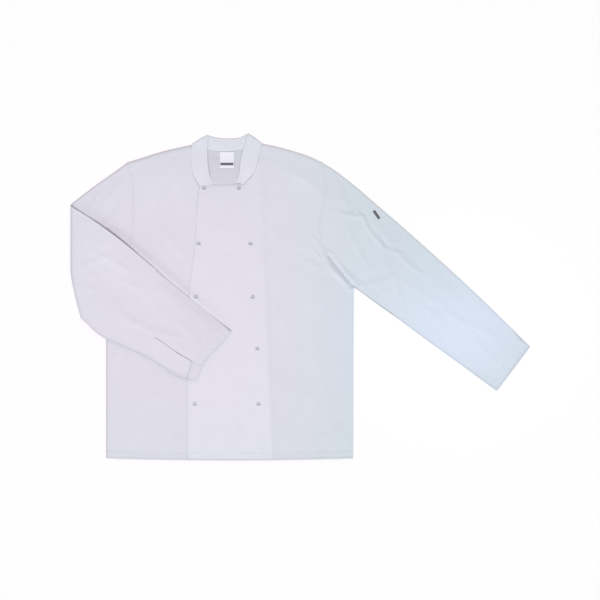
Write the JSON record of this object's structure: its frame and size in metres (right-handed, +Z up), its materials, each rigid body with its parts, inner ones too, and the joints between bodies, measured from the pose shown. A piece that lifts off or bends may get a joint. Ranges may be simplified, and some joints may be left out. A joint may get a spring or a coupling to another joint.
{
  "type": "chef jacket",
  "caption": "White long-sleeved double-breasted chef jacket with a stand collar and press studs, laid flat with one sleeve folded across the front.",
  "frame": {"origin": "on the surface that the jacket lies on, under the middle of the whole laid-out jacket with its sleeves", "axes": "+Z up, away from the surface that it lies on; +Y from the hem towards the collar; +X towards the sleeve that lies out to the side, which is the wearer's left"},
  "size_m": [1.1044, 0.7846, 0.0153],
  "materials": {
    "twill": "matt white poly-cotton twill with a faint blue cast",
    "label": "smooth white woven label with a plain dark bar",
    "tab": "dark woven tape",
    "stud": "dull grey metal press-stud caps"
  },
  "bodies": {
    "root": {"back": "twill", "front_under": "twill", "front_over": "twill", "collar": "twill", "sleeve_left": "twill", "sleeve_right": "twill", "label_neck": "label", "label_sleeve": "tab", "stud_left_1": "stud", "stud_left_2": "stud", "stud_left_3": "stud", "stud_left_4": "stud", "stud_left_5": "stud", "stud_right_1": "stud", "stud_right_2": "stud", "stud_right_3": "stud", "stud_right_4": "stud", "stud_right_5": "stud"}
  },
  "joints": []
}
